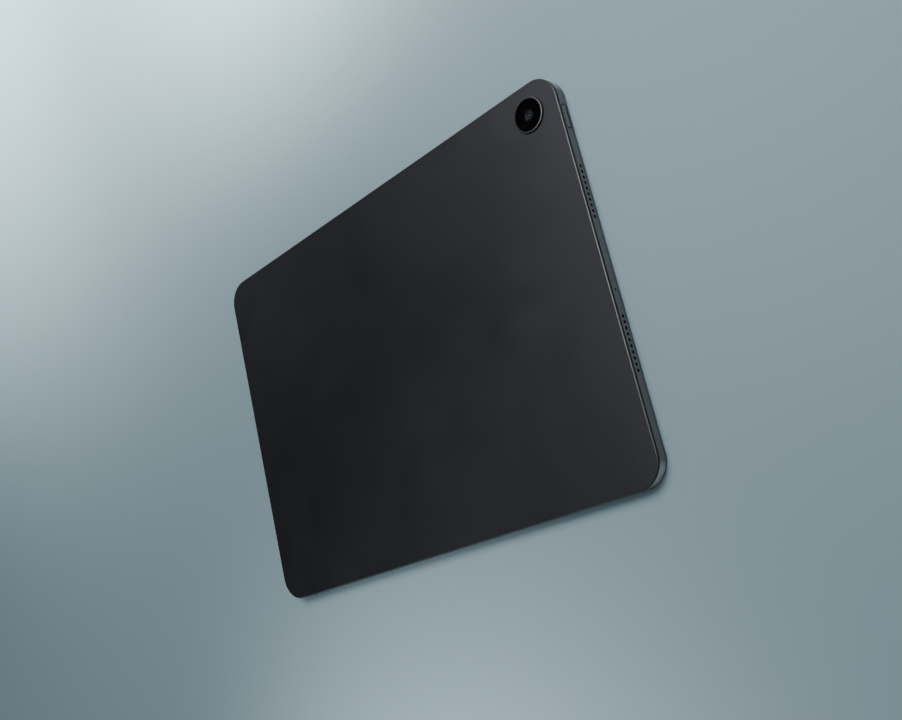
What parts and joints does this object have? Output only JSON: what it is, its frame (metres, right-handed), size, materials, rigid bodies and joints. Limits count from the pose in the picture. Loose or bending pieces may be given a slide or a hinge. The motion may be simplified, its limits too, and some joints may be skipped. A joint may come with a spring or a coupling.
{
  "type": "tablet computer",
  "caption": "Thin slate tablet with a flat metal back, a raised round rear camera near one corner, side keys, and sound holes in its short edges.",
  "frame": {"origin": "middle of the cover glass's outer face, which rests on the surface; the back faces up", "axes": "+X along the long side to the short edge with the power button, +Y to the long edge with the volume rocker, +Z out of the back"},
  "size_m": [0.266, 0.1928, 0.0078],
  "materials": {
    "back_metal": "fine bead-blasted and anodised graphite grey, matte",
    "band_metal": "anodised graphite grey, satin, slightly lighter than the back",
    "key_metal": "anodised graphite grey, satin",
    "cover_glass": "glass with a black printed border over a dark screen, polished",
    "gasket_foam": "closed-cell adhesive foam",
    "screen_panel": "polariser film, dark when off",
    "backlight_pan": "thin pressed pan round a plastic light guide",
    "plate_metal": "stamped sheet, plain",
    "flat_cable": "polyimide film over copper",
    "cell_pouch": "laminated foil pouch",
    "circuit_board": "glass-epoxy board under solder resist",
    "shield_steel": "tinned sheet",
    "screw_steel": "zinc-plated",
    "black_moulding": "moulded, fine texture",
    "graphite_sheet": "pressed graphite film",
    "dust_mesh": "black woven mesh",
    "ring_metal": "turned, anodised dark grey, satin with a bright top edge",
    "camera_glass": "polished glass with a black print under it",
    "lens_glass": "coated lens"
  },
  "bodies": {
    "tablet": {"rear_cover": "back_metal", "side_frame": "band_metal", "cover_seal": "gasket_foam", "cover_glass": "cover_glass", "display_gasket": "gasket_foam", "lcd_panel": "screen_panel", "backlight_unit": "backlight_pan", "display_flex": "flat_cable", "mid_plate": "plate_metal", "battery_cell_left": "cell_pouch", "battery_cell_right": "cell_pouch", "battery_board": "circuit_board", "battery_flex": "flat_cable", "main_board": "circuit_board", "processor_shield": "shield_steel", "power_shield": "shield_steel", "radio_shield": "shield_steel", "display_connector": "black_moulding", "battery_connector": "black_moulding", "heat_spreader": "graphite_sheet", "usb_board": "circuit_board", "usb_c_shell": "shield_steel", "usb_c_tongue": "black_moulding", "board_link_flex": "flat_cable", "antenna_left": "black_moulding", "antenna_right": "black_moulding", "speaker_right_upper": "black_moulding", "speaker_right_lower": "black_moulding", "speaker_left_upper": "black_moulding", "speaker_left_lower": "black_moulding", "speaker_mesh_right_upper": "dust_mesh", "speaker_mesh_right_lower": "dust_mesh", "speaker_mesh_left_upper": "dust_mesh", "speaker_mesh_left_lower": "dust_mesh", "microphone": "shield_steel", "camera_ring": "ring_metal", "camera_glass": "camera_glass", "rear_camera_module": "black_moulding", "rear_camera_lens": "lens_glass", "rear_camera_flex": "flat_cable", "front_camera": "black_moulding", "light_sensor": "black_moulding", "power_switch": "shield_steel", "power_flex": "flat_cable", "volume_up_switch": "shield_steel", "volume_down_switch": "shield_steel", "volume_flex": "flat_cable", "board_screw_1": "screw_steel", "board_screw_2": "screw_steel", "board_screw_3": "screw_steel", "board_screw_4": "screw_steel", "board_screw_5": "screw_steel", "board_screw_6": "screw_steel", "board_screw_7": "screw_steel"},
    "power_key": {"power_button": "key_metal"},
    "volume_key": {"volume_rocker": "key_metal"}
  },
  "joints": [
    {"name": "power_press", "type": "slide", "parent": "tablet", "child": "power_key", "axis": [-1, 0, 0], "range_m": [0, 0.00025], "stiffness_N_per_m": 4000},
    {"name": "volume_rock", "type": "hinge", "parent": "tablet", "child": "volume_key", "pos_m": [0.092, 0.09435, 0.00325], "axis": [0, 0, 1], "range_deg": [-1.5, 1.5], "stiffness_Nm_per_rad": 0.5}
  ]
}
